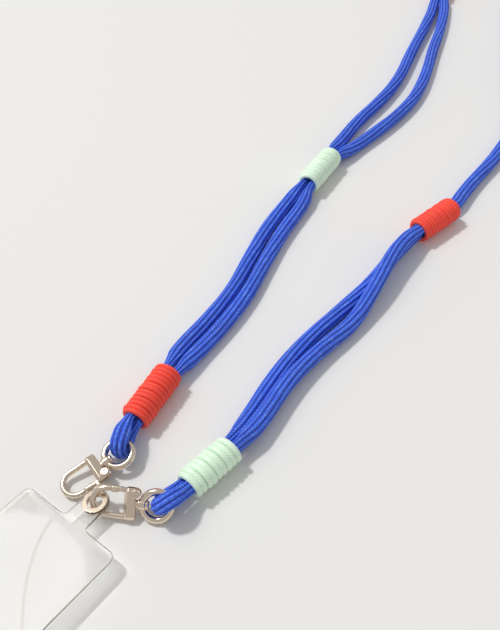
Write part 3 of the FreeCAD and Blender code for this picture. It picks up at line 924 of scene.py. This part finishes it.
# %% [markdown]
# ## Metal
# The hooks are cast, tumbled and plated in a warm pale nickel, so their faces
# are bright but never quite flat: a soft orange peel in the polish and fine
# hairline scratches. The springs are drawn wire, greyer and lightly lined.
# Both are one brushed-metal group with other numbers.

# %% Group: brushed metal, and the two metal finishes
HAIR_STRETCH = (500.0, 9000.0, 2500.0)
SMEAR_SHARE = 0.16
HAIR_SHARE = 0.12

BRUSHED, given, result = new_group(
    "brushed metal",
    [("Vector", VECTOR, None), ("Scratches", FLOAT, 0.5), ("Polish", FLOAT, 0.2)],
    [("Height", FLOAT), ("Roughness", FLOAT)])
peel = noise(BRUSHED, given["Vector"], 500.0)
brushed_way = stretched(BRUSHED, given["Vector"], HAIR_STRETCH)
hairs = maths(BRUSHED, "MULTIPLY", noise(BRUSHED, brushed_way, 1.0), given["Scratches"])
BRUSHED.links.new(maths(BRUSHED, "ADD", peel, hairs), result["Height"])
smears = noise(BRUSHED, given["Vector"], 180.0, 3.0)
smears = maths(BRUSHED, "MULTIPLY", smears, SMEAR_SHARE)
smeared = maths(BRUSHED, "ADD", given["Polish"], smears)
lined = maths(BRUSHED, "MULTIPLY", hairs, HAIR_SHARE)
BRUSHED.links.new(maths(BRUSHED, "ADD", smeared, lined), result["Roughness"])


def metal_finish(name, colour, scratches, polish, depth):
    material, tree, metal = new_finish(name)
    place = in_space(tree)
    brushed = use_group(tree, BRUSHED, ("Vector", place), ("Scratches", scratches),
                        ("Polish", polish))
    worn = use_group(tree, SOFT_WEAR, ("Vector", place), ("Color", colour),
                     ("Scale", 300.0), ("Amount", 0.12), ("Roughness", 0.0))
    feed(tree, metal, ("Base Color", worn["Color"]), ("Metallic", 1.0),
         ("Roughness", brushed["Roughness"]),
         ("Normal", bumped(tree, brushed["Height"], depth, 0.5)))
    return material


nickel = metal_finish("nickel", (0.80, 0.67, 0.54, 1), 0.35, 0.08, 0.00003)
spring_steel = metal_finish("spring_steel", (0.52, 0.50, 0.47, 1), 1.0, 0.22, 0.00002)
print("metals:", nickel.name, "and", spring_steel.name)

# %% [markdown]
# ## Clear film
# The film is clear and a little warm. Its cut rim is frosted, which is what
# shows most on the real tab: the sheet itself nearly disappears and the rim
# draws its outline. A faint line also runs down the plate in a long curve, along
# the film's bend: a slight ridge, with a pale highlight painted onto it.

# %% Film finish
FILM_COLOUR = (0.97, 0.965, 0.955, 1)
FROST_COLOUR = (0.93, 0.88, 0.80, 1)
# the bend's line on the plate: y = BEND_Y + BEND_SLOPE d + BEND_CURVE d squared,
# where d is how far down the plate a place lies from BEND_X
BEND_X, BEND_Y = 0.0135, -0.0072
BEND_SLOPE, BEND_CURVE = 0.22, 17.0
# how much of the frost colour paints the highlight along the bend
BEND_HIGHLIGHT_SHARE = 0.5
FROST_ROUGHNESS = 0.5

clear_film, tree, film = new_finish("clear_film")
frost = put(tree, "ShaderNodeAttribute", attribute_name="rim", out="Fac")
_, plan_x, plan_y = on_skin(tree, "plan")
down_plate = maths(tree, "SUBTRACT", plan_x, BEND_X)
slope = maths(tree, "MULTIPLY_ADD", down_plate, BEND_CURVE, BEND_SLOPE)
line_y = maths(tree, "MULTIPLY_ADD", slope, down_plate, BEND_Y)
off_line = maths(tree, "ABSOLUTE", maths(tree, "SUBTRACT", plan_y, line_y))
# the bend line: a slight ridge and roughness, and a painted highlight in the colour
bend_ridge_and_highlight = maths(tree, "MULTIPLY", between(tree, off_line, 0.0006, 0.0002),
               between(tree, down_plate, 0.0, 0.001))
place = in_space(tree)
handled = use_group(tree, SOFT_WEAR, ("Vector", place), ("Color", FILM_COLOUR),
                    ("Scale", 80.0), ("Amount", 0.03), ("Roughness", 0.06))
# the frosted rim, and the bend line's painted highlight
frost_and_bend_highlight = maths(tree, "MAXIMUM", frost, maths(tree, "MULTIPLY", bend_ridge_and_highlight, BEND_HIGHLIGHT_SHARE))
frosted = maths(tree, "MULTIPLY", frost_and_bend_highlight, FROST_ROUGHNESS)
ripple = maths(tree, "ADD", noise(tree, place, 120.0), bend_ridge_and_highlight)
feed(tree, film,
     ("Base Color", blend_colour(tree, frost_and_bend_highlight, handled["Color"], FROST_COLOUR)),
     ("Roughness", maths(tree, "ADD", handled["Roughness"], frosted)),
     ("Normal", bumped(tree, ripple, 0.00012, 0.35)),
     ("Transmission Weight", 1.0), ("IOR", 1.46))
print(clear_film.name, "has", len(tree.nodes), "nodes")

# %% [markdown]
# ## Who wears what
# A finish shows once it sits in a piece's material slot. The metal pieces come
# from the fixed frame, so only the material in their slots is changed. The new
# pieces have empty slots, and each gets one finish.

# %% Give each piece its finish
FINISHES = {"cord_blue": cord_blue, "thread_red": thread_red,
            "thread_mint": thread_mint, "nickel": nickel,
            "spring_steel": spring_steel, "clear_film": clear_film}
METAL_NODES = {node: "nickel" for node in
               ("eye_a", "eye_b", "swivel_post_a", "swivel_post_b", "hook_a",
                "hook_b", "gate_a", "gate_b", "gate_rivet_a", "gate_rivet_b",
                "tab_eyelet", "tab_washer")}
METAL_NODES.update(gate_spring_a="spring_steel", gate_spring_b="spring_steel")


def dress(piece, finish):
    """The piece shows this finish and no other."""
    piece.data.materials.clear()
    piece.data.materials.append(FINISHES[finish])


for node, finish in METAL_NODES.items():
    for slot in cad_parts[node].material_slots:
        slot.material = FINISHES[finish]
for piece in cords.values():
    dress(piece, "cord_blue")
for name, piece in collars.items():
    dress(piece, "thread_red" if "red" in name else "thread_mint")
dress(clear_tab, "clear_film")
print("finished:", len(METAL_NODES), "metal nodes,", len(cords), "cords,",
      len(collars), "collars and the tab")

# %% [markdown]
# ## Floor
# The strap lies on a plain pale table. A wide plane stands for it.

# %% Floor
FLOOR_SIZE = 6.0
FLOOR_AT = (0.1, 0.2, 0.0)
FLOOR_COLOUR = (0.80, 0.79, 0.77, 1)

bpy.ops.object.select_all(action="DESELECT")
bpy.ops.mesh.primitive_plane_add(size=FLOOR_SIZE, location=FLOOR_AT)
floor = bpy.context.object
floor.name = "floor"
floor_paint, tree, paint = new_finish("floor_paint")
feed(tree, paint, ("Base Color", FLOOR_COLOUR), ("Roughness", 0.9))
floor.data.materials.append(floor_paint)
print("the floor is", FLOOR_SIZE, "m wide")

# %% [markdown]
# ## Light
# One wide sun from the upper left gives soft shadows to the right, and a plain
# sky of half strength fills them. The two together light a level white surface
# to about its own colour. The camera sees the sky at full white, straight or
# through the clear film. Metal mirrors it at its half strength, because a full
# white sky washes the form out of the small bright hooks. A softbox above
# the left side gives them a soft highlight instead.

# %% Light
SKY_FILL = 0.5
SUN_ENERGY = 1.55
SUN_WIDTH = math.radians(5)
SUN_AIM = (0.58, -0.22, -1.0)
SOFTBOX_ENERGY = 1.8
SOFTBOX_SIZE = 0.5
SOFTBOX_AT = (-0.55, 0.30, 0.90)
SOFTBOX_AIM = (0.60, -0.25, -0.90)

world = bpy.data.worlds.new("studio")
bpy.context.scene.world = world
world.use_nodes = True
sky = world.node_tree
rays = sky.nodes.new("ShaderNodeLightPath").outputs
seen = maths(sky, "MAXIMUM", rays["Is Camera Ray"], rays["Is Transmission Ray"])
feed(sky, sky.nodes["Background"], ("Color", (1, 1, 1, 1)),
     ("Strength", between(sky, seen, 0.0, 1.0, SKY_FILL, 1.0)))


def add_lamp(name, kind, energy, aim):
    """A lamp at the origin that shines this way."""
    data = bpy.data.lights.new(name, kind)
    data.energy = energy
    lamp = add_object(name, data)
    lamp.rotation_euler = Vector(aim).to_track_quat("-Z", "Y").to_euler()
    return lamp


sun = add_lamp("key", "SUN", SUN_ENERGY, SUN_AIM)
sun.data.angle = SUN_WIDTH
softbox = add_lamp("softbox", "AREA", SOFTBOX_ENERGY, SOFTBOX_AIM)
softbox.data.size = SOFTBOX_SIZE
softbox.location = SOFTBOX_AT
bpy.context.scene.view_settings.view_transform = "Standard"
print("lamps:", sun.name, sun.data.energy, softbox.name, softbox.data.energy)

# %% [markdown]
# ## On their bodies
# Each new piece rides on one body, stands in for the CAD solids that it was
# modelled after, and has a slot named for its finish. The cords and the wound thread
# ride on the cord's body, and the clear tab rides on a body of its own.

# %% Put the pieces on their bodies
for name, piece in cords.items():
    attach(piece, "cord")
for name, piece in collars.items():
    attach(piece, "cord")
    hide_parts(name)
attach(clear_tab, "tab")
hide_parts("phone_tab")
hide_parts("cord_loop_a", "cord_a_lower_left", "cord_a_lower_right",
            "cord_a_upper_left", "cord_a_upper_right")
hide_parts("cord_loop_b", "cord_b_left", "cord_b_right")
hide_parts("cord_to_coil", "cord_coil", "cord_b_single")
for name, piece in cords.items():
    line = lines[name]
